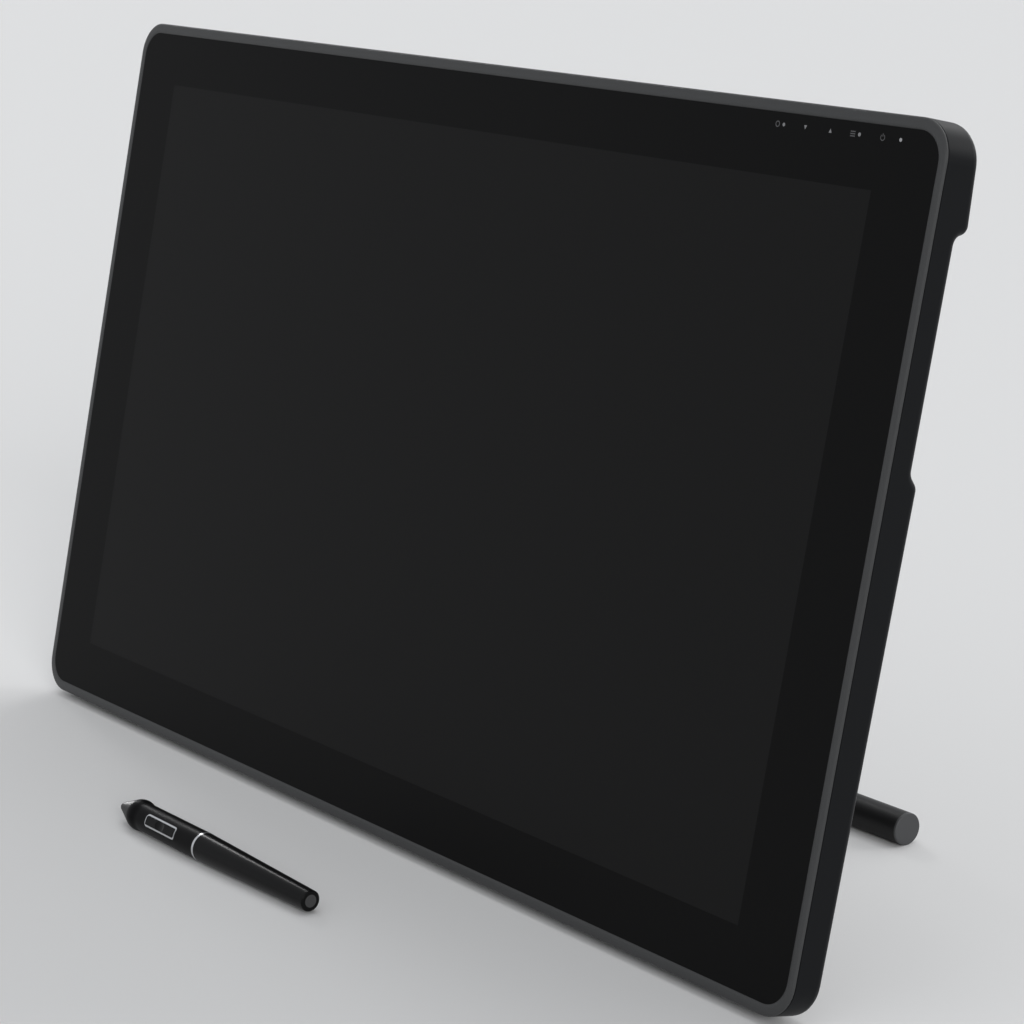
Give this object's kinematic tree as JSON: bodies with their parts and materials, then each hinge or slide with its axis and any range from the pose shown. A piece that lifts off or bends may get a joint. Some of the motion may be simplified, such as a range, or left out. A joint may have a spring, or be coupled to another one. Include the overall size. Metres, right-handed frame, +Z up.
{
  "type": "graphics tablet with screen",
  "caption": "Flat pen display on a folding rear stand, with a wide glass front, a stepped rear cover and a loose pen lying on the desk in front of it.",
  "frame": {"origin": "on the desk, under the middle of the bounding box of screen, stand and pen", "axes": "+X to the right along the screen, +Y backwards, away from the person drawing, +Z up; the screen faces -Y"},
  "size_m": [0.602, 0.289, 0.3539],
  "materials": {
    "adhesive_tape": "tape",
    "bush_plastic": "plain",
    "cap_plastic": "fine matt, dark grey",
    "cell_glass": "polarised",
    "circuit_board": "solder resist",
    "clear_plastic": "clear",
    "coil_copper": "enamelled wire",
    "cover_glass": "anti-glare, black printed border",
    "cover_plastic": "fine grained, black",
    "ferrite": "sintered",
    "film_plastic": "white film",
    "flat_cable": "amber film",
    "foot_rubber": "matt",
    "frame_plastic": "fine matt, charcoal",
    "inner_plastic": "plain",
    "insert_brass": "knurled",
    "nib_plastic": "smooth",
    "pen_bright": "satin bright",
    "pen_grip_rubber": "soft touch",
    "pen_plastic": "fine matt, black",
    "pin_steel": "ground",
    "screw_steel": "black oxide",
    "sheet_aluminium": "plain",
    "sheet_steel": "zinc plated",
    "socket_metal": "nickel plated",
    "spring_steel": "drawn wire",
    "stand_paint": "fine textured black paint"
  },
  "bodies": {
    "display": {"front_glass": "cover_glass", "glass_tape": "adhesive_tape", "front_frame": "frame_plastic", "panel_bezel": "sheet_steel", "lcd_cell": "cell_glass", "diffuser_films": "film_plastic", "light_guide": "clear_plastic", "reflector_sheet": "film_plastic", "panel_tray": "sheet_aluminium", "led_strip": "circuit_board", "pen_sensor_board": "circuit_board", "shield_plate": "sheet_aluminium", "main_board": "circuit_board", "power_socket": "inner_plastic", "video_socket": "socket_metal", "usb_sockets": "socket_metal", "flex_cables": "flat_cable", "touch_key_board": "circuit_board", "status_light_pipe": "clear_plastic", "rubber_feet": "foot_rubber", "rear_cover": "cover_plastic", "case_screws": "screw_steel", "thread_inserts": "insert_brass", "stand_plate": "stand_paint", "stand_screws": "screw_steel", "hinge_bushes": "bush_plastic", "wrap_springs": "spring_steel", "lever_pin": "pin_steel", "lever_spring": "spring_steel"},
    "stand_leg": {"hinge_pin": "pin_steel", "hinge_nut": "screw_steel", "stand_arm_left": "stand_paint", "stand_arm_right": "stand_paint", "spacer_rod": "pin_steel", "foot_tube": "stand_paint", "foot_sleeves": "foot_rubber", "foot_end_caps": "cap_plastic"},
    "release_lever": {"release_lever": "stand_paint"},
    "pen": {"pen_grip": "pen_grip_rubber", "pen_bezel": "pen_bright", "pen_ferrite": "ferrite", "pen_coil": "coil_copper", "pen_pressure_sensor": "inner_plastic", "pen_board": "circuit_board", "pen_ring": "pen_bright", "pen_barrel": "pen_plastic", "pen_end_cap": "pen_plastic"},
    "nib": {"pen_nib": "nib_plastic"},
    "rocker": {"pen_rocker": "pen_plastic"}
  },
  "joints": [
    {"name": "stand_fold", "type": "hinge", "parent": "display", "child": "stand_leg", "pos_m": [0, -0.00876, 0.1147], "axis": [1, 0, 0], "range_deg": [0, 114]},
    {"name": "lever_press", "type": "hinge", "parent": "display", "child": "release_lever", "pos_m": [0, -0.00434, 0.15261], "axis": [1, 0, 0], "range_deg": [0, 8], "stiffness_Nm_per_rad": 1, "springref_deg": -5.73},
    {"name": "pen_lift", "type": "slide", "parent": "display", "child": "pen", "axis": [0, 0, 1], "range_m": [0, 0.3]},
    {"name": "nib_press", "type": "slide", "parent": "pen", "child": "nib", "axis": [0.9999, 0.014, -0.0098], "range_m": [0, 0.0006], "stiffness_N_per_m": 2000, "springref_m": -0.0002},
    {"name": "rocker_tilt", "type": "hinge", "parent": "pen", "child": "rocker", "pos_m": [-0.04188, -0.14055, 0.0092], "axis": [0.0026, 0.4463, 0.8949], "range_deg": [-3, 3], "stiffness_Nm_per_rad": 0.17}
  ]
}
